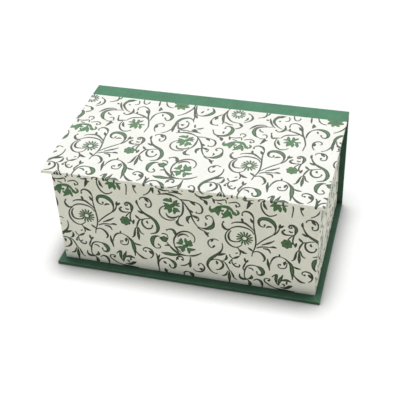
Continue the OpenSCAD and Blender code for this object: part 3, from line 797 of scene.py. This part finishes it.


# Cloth pressed into the joint of the lid

GROOVE = 0.8         # depth of the pressed joint
CLOTH_PLAY = 0.03    # how much thinner the strips are than the cloth, so that they don't touch
ROWS, COLUMNS = 14, 24    # faces of one strip, upward and along its straight part
END_STEPS = 4        # flat faces in the fold at an end of the strip
HEM_START = 2.5      # thicknesses of cloth from the strip's end to the fold of its turned-in hem
HEM_END = 4.0        # and to the straight part
SMOOTH_BELOW = math.radians(40)


def joint_strip(name, half, low, high, depth, folded_ends):
    """A strip of cloth across part of the joint, pressed to the groove, low to high in z."""
    end = [(half, depth)]
    if folded_ends:
        end = [(half - TURN_IN, depth + CLOTH), (half - HEM_START * CLOTH, depth + CLOTH)]
        for k in range(END_STEPS + 1):
            turn = math.pi * k / END_STEPS
            end.append((half - CLOTH + 0.5 * CLOTH * math.sin(turn),
                        depth + 0.5 * CLOTH * (1 + math.cos(turn))))
        end.append((half - HEM_END * CLOTH, depth))
    inside = end[-1][0]
    columns = [(-x, d) for x, d in end]
    columns += [(-inside + 2 * inside * k / COLUMNS, depth) for k in range(1, COLUMNS)]
    columns += reversed(end)
    verts, faces = [], []
    for r in range(ROWS + 1):
        z = low + (high - low) * r / ROWS
        share = (z - crease_low) / (crease_high - crease_low)
        groove = GROOVE * math.sin(math.pi * share) ** 2
        for x, d in columns:
            verts.append((x * MM, (cloth_back - groove - d) * MM, z * MM))
    width = len(columns)
    for r in range(ROWS):
        for a in range(r * width, r * width + width - 1):
            faces.append((a + 1, a, a + width, a + width + 1))
    piece = add_mesh(name, verts, faces, ["green_cloth"])
    bpy.ops.object.select_all(action="DESELECT")
    piece.select_set(True)
    bpy.context.view_layer.objects.active = piece
    thick = piece.modifiers.new("thickness", "SOLIDIFY")
    thick.thickness = (CLOTH - CLOTH_PLAY) * MM
    thick.offset = 0.0
    bpy.ops.object.modifier_apply(modifier="thickness")
    bpy.ops.object.shade_smooth_by_angle(angle=SMOOTH_BELOW)
    return piece


def hinge_strips():
    """The outer cloth and the inner hinge, each as a lower and an upper half."""
    middle = 0.5 * (crease_low + crease_high)
    layers = (
        ("hinge_cloth", board_x + CLOTH, 0.5 * CLOTH, True),
        ("inner_hinge_bend", inner_hinge_x, 1.5 * CLOTH, False),
    )
    for node, half, depth, folded in layers:
        lower = joint_strip(node + "_lower", half, crease_low, middle, depth, folded)
        upper = joint_strip(node + "_upper", half, middle, crease_high, depth, folded)
        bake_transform(lower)
        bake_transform(upper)
        for piece in (lower, upper):
            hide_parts(node)


# Materials

FACING = 0.7             # a face belongs to an axis if its normal has more than this of it
WAVER = 0.0006           # how far the threads wander, in metres
DRAWN_OUT = 0.08         # the noise of the slubs is read this slowly along a thread
CREST_HIGHLIGHT = 0.35      # how much of the cloth's tone is a painted highlight where its threads lie high
SLUB_SHADE = 0.9         # and how much from its slubs
FIBRE_HEIGHT = 0.6       # height of the fine fibres beside the paper's tooth
SOILED = 0.82            # a rubbed edge of paper is this share as bright
CLOTH_PAINTED_SHADE_REACH = 0.042    # cloth nearer than this to other surfaces gets painted shade, in metres
GROUND_PAINTED_SHADOW_REACH = 0.026   # the same for the painted shadow on the ground
PAPER_COLOUR = (0.857, 0.862, 0.814, 1)


class Nodes:
    """A short way to lay out shader nodes."""

    def __init__(self, tree):
        self.tree = tree

    def add(self, kind, **settings):
        """A node with its settings: an input takes a value or another node's output."""
        node = self.tree.nodes.new(kind)
        for key, value in settings.items():
            if key == "inputs":
                for name, item in value.items():
                    if hasattr(item, "is_output"):
                        self.tree.links.new(item, node.inputs[name])
                    else:
                        node.inputs[name].default_value = item
            else:
                setattr(node, key, value)
        return node

    def link(self, value, socket):
        self.tree.links.new(value, socket)

    def math(self, operation, a, b=0.0, clamp=False):
        return self.add("ShaderNodeMath", operation=operation, use_clamp=clamp,
                        inputs={0: a, 1: b}).outputs[0]

    def mix(self, factor, a, b):
        return self.add("ShaderNodeMix", data_type="FLOAT",
                        inputs={0: factor, 2: a, 3: b}).outputs[0]

    def mix_colour(self, factor, a, b, blend="MIX"):
        return self.add("ShaderNodeMix", data_type="RGBA", blend_type=blend,
                        inputs={0: factor, 6: a, 7: b}).outputs[2]

    def noise(self, vector, scale, detail=3.0, roughness=0.5):
        return self.add("ShaderNodeTexNoise", inputs={
            "Vector": vector, "Scale": scale, "Detail": detail, "Roughness": roughness}).outputs[0]

    def span(self, value, low, high, to_low=0.0, to_high=1.0):
        """A smooth step of a value from one range to another."""
        return self.add("ShaderNodeMapRange", interpolation_type="SMOOTHSTEP", inputs={
            "Value": value, "From Min": low, "From Max": high,
            "To Min": to_low, "To Max": to_high}).outputs[0]

    def pair(self, u, v):
        """Two values as one position on a surface."""
        return self.add("ShaderNodeCombineXYZ", inputs={0: u, 1: v}).outputs[0]

    def group(self, name):
        return self.add("ShaderNodeGroup", node_tree=groups[name])

    def position(self):
        """Where a point lies in the frame, in metres."""
        return self.add("ShaderNodeTexCoord").outputs["Object"]

    def grey(self, value):
        return self.add("ShaderNodeCombineColor",
                        inputs={0: value, 1: value, 2: value}).outputs[0]

    def times(self, colour, value):
        """A colour made darker or lighter by one factor."""
        return self.mix_colour(1.0, colour, self.grey(value), "MULTIPLY")

    def painted_shade_mask(self, reach):
        """1 in the open, less where surfaces within reach would keep the light off: a mask for painted
        shade.
        """
        return self.add("ShaderNodeAmbientOcclusion", samples=8,
                        inputs={"Distance": reach}).outputs["AO"]

    def seen(self):
        """1 for what is looked at, also in a mirror or through glass, 0 for diffuse light."""
        path = self.add("ShaderNodeLightPath")
        direct = self.math("MAXIMUM", path.outputs["Is Camera Ray"], path.outputs["Is Glossy Ray"])
        return self.math("MAXIMUM", direct, path.outputs["Is Transmission Ray"])


def new_group(name, setting, value, outputs):
    """A node group with one setting: its Nodes, its input, and its output sockets."""
    tree = bpy.data.node_groups.new(name, "ShaderNodeTree")
    made = tree.interface.new_socket(setting, in_out="INPUT", socket_type="NodeSocketFloat")
    made.default_value = value
    for socket, kind in outputs:
        tree.interface.new_socket(socket, in_out="OUTPUT", socket_type="NodeSocket" + kind)
    n = Nodes(tree)
    return n, n.add("NodeGroupInput").outputs[0], n.add("NodeGroupOutput").inputs


def make_weave_group():
    """Plain weave that lies flat on each face: Height, Slub and the position on the cloth."""
    n, threads, out = new_group("plain_weave", "Threads per metre", 2000.0, [
        ("Height", "Float"), ("Slub", "Float"), ("Cloth position", "Vector")])
    where = n.add("ShaderNodeTexCoord")
    place = n.add("ShaderNodeSeparateXYZ", inputs={0: where.outputs["Object"]})
    facing = n.add("ShaderNodeSeparateXYZ", inputs={0: where.outputs["Normal"]})
    on_end = n.math("GREATER_THAN", n.math("ABSOLUTE", facing.outputs[0]), FACING)
    on_flat = n.math("GREATER_THAN", n.math("ABSOLUTE", facing.outputs[2]), FACING)
    u = n.mix(on_end, place.outputs[0], place.outputs[1])
    v = n.mix(on_flat, place.outputs[2], place.outputs[1])
    flat = n.pair(u, v)
    waver = n.math("MULTIPLY", n.noise(flat, scale=400.0, detail=2.0), WAVER)
    turns = n.math("MULTIPLY", threads, math.pi)
    warp = n.math("SINE", n.math("MULTIPLY", n.math("ADD", u, waver), turns))
    weft = n.math("SINE", n.math("MULTIPLY", n.math("ADD", v, waver), turns))
    over = n.math("GREATER_THAN", n.math("MULTIPLY", warp, weft), 0.0)
    height = n.mix(over, n.math("ABSOLUTE", weft), n.math("ABSOLUTE", warp))
    along_u = n.noise(n.pair(n.math("MULTIPLY", u, DRAWN_OUT), v), scale=900.0, detail=2.0)
    along_v = n.noise(n.pair(u, n.math("MULTIPLY", v, DRAWN_OUT)), scale=900.0, detail=2.0)
    n.link(height, out[0])
    n.link(n.math("MULTIPLY", n.math("ADD", along_u, along_v), 0.5), out[1])
    n.link(flat, out[2])
    return n.tree


def make_rub_group():
    """Mask of the box's outer edges, where handling rubs the covering: Rubbed."""
    n, reach, out = new_group("edge_rub", "Width", 0.001, [("Rubbed", "Float")])
    where = n.position()
    place = n.add("ShaderNodeSeparateXYZ", inputs={0: where})
    near = []
    for axis, (low, high) in enumerate(zip(*cad_box)):
        middle, half = 0.5 * (low + high), 0.5 * (high - low)
        away = n.math("ABSOLUTE", n.math("SUBTRACT", place.outputs[axis], middle))
        start = n.math("SUBTRACT", half, reach)
        near.append(n.math("DIVIDE", n.math("SUBTRACT", away, start), reach, clamp=True))
    pairs = [n.math("MULTIPLY", near[a], near[b]) for a, b in ((0, 1), (1, 2), (0, 2))]
    edge = n.math("MAXIMUM", n.math("MAXIMUM", pairs[0], pairs[1]), pairs[2])
    patchy = n.span(n.noise(where, scale=260.0, detail=4.0, roughness=0.7), 0.42, 0.66)
    n.link(n.math("MULTIPLY", edge, patchy), out[0])
    return n.tree


def make_fibre_group():
    """Fine paper fibres and soft cloudiness: Height and Cloud."""
    n, scale, out = new_group("paper_fibre", "Scale", 1.0, [
        ("Height", "Float"), ("Cloud", "Float")])
    sized = n.add("ShaderNodeVectorMath", operation="SCALE", inputs={
        0: n.position(), "Scale": scale}).outputs[0]
    fibre = n.noise(sized, scale=2600.0, detail=5.0, roughness=0.65)
    tooth = n.noise(sized, scale=900.0, detail=3.0, roughness=0.6)
    cloud = n.noise(sized, scale=70.0, detail=4.0, roughness=0.6)
    n.link(n.math("ADD", n.math("MULTIPLY", fibre, FIBRE_HEIGHT), tooth), out[0])
    n.link(cloud, out[1])
    return n.tree


def new_material(name, roughness, specular):
    """A material with its Nodes and its Principled shader."""
    material = bpy.data.materials.new(name)
    material.use_nodes = True
    shader = next(x for x in material.node_tree.nodes if x.type == "BSDF_PRINCIPLED")
    shader.inputs["Roughness"].default_value = roughness
    shader.inputs["Specular IOR Level"].default_value = specular
    return material, Nodes(material.node_tree), shader


def bumped(n, shader, height, distance, strength):
    """Feeds a height in metres of distance to the shader's normal."""
    bump = n.add("ShaderNodeBump", inputs={
        "Height": height, "Distance": distance, "Strength": strength})
    n.link(bump.outputs[0], shader.inputs["Normal"])


def rubbed(n, colour, bare, amount):
    """A colour with the bare one showing where the edges are rubbed."""
    return n.mix_colour(n.math("MULTIPLY", n.group("rub").outputs[0], amount), colour, bare)


def cloth_material(name, colour, light, worn_colour):
    """Bookcloth: dyed threads with a painted highlight where they lie high, rubbed at the edges,
    painted shade in corners.
    """
    material, n, shader = new_material(name, roughness=0.82, specular=0.25)
    weave = n.group("weave")
    # The crests of the threads get a painted highlight toward the paler colour; the slubs are the
    # yarn's own tone
    shade = n.math("ADD", n.math("MULTIPLY", weave.outputs["Height"], CREST_HIGHLIGHT),
                   n.math("MULTIPLY", weave.outputs["Slub"], SLUB_SHADE))
    dyed = n.mix_colour(n.span(shade, 0.35, 1.05), colour, light)
    cloudy = n.noise(weave.outputs["Cloth position"], scale=55.0)
    dyed = n.times(dyed, n.span(cloudy, 0.3, 0.7, to_low=0.93, to_high=1.07))
    worn = rubbed(n, dyed, worn_colour, amount=0.3)
    # Painted shade: the cloth's colour is darkened where other surfaces are near, in corners and on the
    # base's margins under the lid
    cloth_painted_shade = n.span(n.painted_shade_mask(CLOTH_PAINTED_SHADE_REACH), 0.5, 1.1, to_low=0.34, to_high=1.04)
    n.link(n.times(worn, cloth_painted_shade), shader.inputs["Base Color"])
    shader.inputs["Sheen Weight"].default_value = 0.12
    shader.inputs["Sheen Roughness"].default_value = 0.5
    bumped(n, shader, weave.outputs["Height"], distance=0.00006, strength=0.6)
    return material


def paper_material(name, colour, cloud_colour, tooth, roughness):
    """Uncoated paper with fibres, tooth and a soft unevenness."""
    material, n, shader = new_material(name, roughness, specular=0.3)
    fibre = n.group("fibre")
    base = n.mix_colour(n.span(fibre.outputs["Cloud"], 0.35, 0.65), colour, cloud_colour)
    base = n.times(base, n.span(fibre.outputs["Height"], 0.62, 1.05, to_low=1.03, to_high=0.94))
    soiled = tuple(SOILED * c for c in colour[:3]) + (1.0,)
    n.link(rubbed(n, base, soiled, amount=0.35), shader.inputs["Base Color"])
    bumped(n, shader, fibre.outputs["Height"], distance=tooth, strength=0.5)
    return material


def ink_material(name, colour, thin, paper):
    """Printed ink that sinks into the paper: a little uneven, rubbed off at the edges."""
    material, n, shader = new_material(name, roughness=0.42, specular=0.25)
    fibre = n.group("fibre")
    base = n.mix_colour(n.span(fibre.outputs["Height"], 0.55, 1.05), colour, thin)
    n.link(rubbed(n, base, paper, amount=0.75), shader.inputs["Base Color"])
    bumped(n, shader, fibre.outputs["Height"], distance=0.00002, strength=0.4)
    return material


def board_material(name, dark, light):
    """Grey board, pressed from mixed fibres, with dark and light flecks."""
    material, n, shader = new_material(name, roughness=0.9, specular=0.2)
    stretched = n.add("ShaderNodeMapping", inputs={
        "Vector": n.position(), "Scale": (1.0, 1.0, 4.0)}).outputs[0]
    flecks = n.noise(stretched, scale=1400.0, detail=5.0, roughness=0.7)
    n.link(n.mix_colour(n.span(flecks, 0.35, 0.65), dark, light), shader.inputs["Base Color"])
    bumped(n, shader, flecks, distance=0.00005, strength=0.6)
    return material


def floor_material(name, bounce, seen_as):
    """White ground with a painted shadow: it is seen darker close to the box, where its walls keep the
    light off.

    It is seen as one grey and throws back a warmer light.
    """
    material, n, shader = new_material(name, roughness=0.95, specular=0.0)
    # Painted shadow: the grey that is seen is darkened near the box
    seen_with_painted_shadow = n.grey(n.math("MULTIPLY", n.painted_shade_mask(GROUND_PAINTED_SHADOW_REACH), seen_as))
    n.link(n.mix_colour(n.seen(), bounce, seen_with_painted_shadow), shader.inputs["Base Color"])
    return material


groups = {"weave": make_weave_group(), "rub": make_rub_group(), "fibre": make_fibre_group()}
materials = {
    "green_cloth": cloth_material(
        "bookcloth_green", (0.060, 0.184, 0.105, 1), (0.106, 0.288, 0.168, 1),
        worn_colour=(0.189, 0.462, 0.282, 1)),
    "printed_paper": paper_material(
        "paper_printed", PAPER_COLOUR, (0.828, 0.832, 0.778, 1), tooth=0.00003, roughness=0.7),
    "outline_ink": ink_material(
        "ink_olive", (0.026, 0.037, 0.020, 1), (0.044, 0.062, 0.034, 1), PAPER_COLOUR),
    "leaf_ink": ink_material(
        "ink_green", (0.043, 0.142, 0.045, 1), (0.068, 0.190, 0.070, 1), PAPER_COLOUR),
    "lining_paper": paper_material(
        "paper_lining", (0.80, 0.76, 0.66, 1), (0.77, 0.725, 0.62, 1),
        tooth=0.00004, roughness=0.8),
    "grey_board": board_material(
        "board_grey", (0.30, 0.28, 0.25, 1), (0.46, 0.44, 0.40, 1)),
    "ground": floor_material("ground_white", bounce=(0.94, 0.93, 0.81, 1), seen_as=0.93),
}

NODE_FINISH = {
    "grey_board": (
        "base_board", "spine_board", "lid_board", "tray_front_wall", "tray_back_wall",
        "tray_left_wall", "tray_right_wall", "tray_floor"),
    "green_cloth": (
        "base_cloth", "spine_cloth", "hinge_cloth", "lid_cloth", "inner_hinge_spine",
        "inner_hinge_bend", "inner_hinge_lid"),
    "printed_paper": ("lid_paper", "tray_paper"),
    "lining_paper": ("lid_lining", "wall_lining", "floor_lining"),
}
for finish, names in NODE_FINISH.items():
    for name in names:
        for slot in nodes[name].material_slots:
            slot.material = materials[finish]

# The object

for sheet, body, node in (
        (lid_sheet(), "lid", "lid_paper"), (tray_sheet(), "case", "tray_paper")):
    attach(sheet, body)
    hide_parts(node)
hinge_strips()

# Ground, light and camera

GROUND_SIZE = 8.0
WORLD_LIGHT = 0.335
OVERHEAD_LIGHT, OVERHEAD_PLACE = 2.44, (0.015, 0.115, 2.0)
OVERHEAD_WIDTH = 17.0        # how wide the source looks from the box, in degrees
CARD_LIGHT, CARD_PLACE, CARD_SIZE = 6.2, (-0.28, 0.90, 0.80), 0.8
FOCAL = 853.4 / 400          # focal length as a multiple of the picture's width
FILM = 36.0                  # width of the film, in millimetres
AZIMUTH, ELEVATION, ROLL = (math.radians(a) for a in (17.13, 38.36, -3.09))
DISTANCE = 0.6402
TARGET = Vector((0.0002, -0.0087, 0.040))

bpy.ops.object.select_all(action="DESELECT")
bpy.ops.mesh.primitive_plane_add(size=GROUND_SIZE, location=(0, 0, 0))
ground = bpy.context.object
ground.name = "ground"
ground.data.materials.append(materials["ground"])


def place_lamp(name, kind, energy, spot):
    """A light that stands at a spot and shines at the middle of the box's underside."""
    lamp = bpy.data.objects.new(name, bpy.data.lights.new(name, kind))
    lamp.data.energy = energy
    lamp.location = spot
    lamp.rotation_euler = lamp.location.to_track_quat("Z", "Y").to_euler()
    bpy.context.scene.collection.objects.link(lamp)
    return lamp


world = bpy.data.worlds.new("studio")
world.use_nodes = True
bpy.context.scene.world = world
w = Nodes(world.node_tree)
background = next(x for x in world.node_tree.nodes if x.type == "BACKGROUND")
background.inputs["Color"].default_value = (1, 1, 1, 1)
w.link(w.mix(w.seen(), WORLD_LIGHT, 1.0), background.inputs["Strength"])

# The main light comes from almost straight above, a little from behind
overhead = place_lamp("overhead", "SUN", OVERHEAD_LIGHT, OVERHEAD_PLACE)
overhead.data.angle = math.radians(OVERHEAD_WIDTH)

# A white card behind the box, only to be mirrored: it lays a soft sheen over the lid
card = place_lamp("reflected_card", "AREA", CARD_LIGHT, CARD_PLACE)
card.data.size = CARD_SIZE
card.visible_diffuse = False

# The camera stands to the right of the front and looks down on the lid
toward = Vector((
    math.sin(AZIMUTH) * math.cos(ELEVATION), -math.cos(AZIMUTH) * math.cos(ELEVATION),
    math.sin(ELEVATION)))
level = Vector((0, 0, 1)).cross(toward).normalized()
upright = toward.cross(level)
right = math.cos(ROLL) * level + math.sin(ROLL) * upright
up = -math.sin(ROLL) * level + math.cos(ROLL) * upright
lens = bpy.data.cameras.new("camera")
lens.sensor_width = FILM
lens.lens = FILM * FOCAL
camera = bpy.data.objects.new("camera", lens)
turn = Matrix((right, up, toward)).transposed().to_4x4()
camera.matrix_world = Matrix.Translation(TARGET + toward * DISTANCE) @ turn
bpy.context.scene.collection.objects.link(camera)
bpy.context.scene.camera = camera
bpy.context.scene.view_settings.view_transform = "Standard"
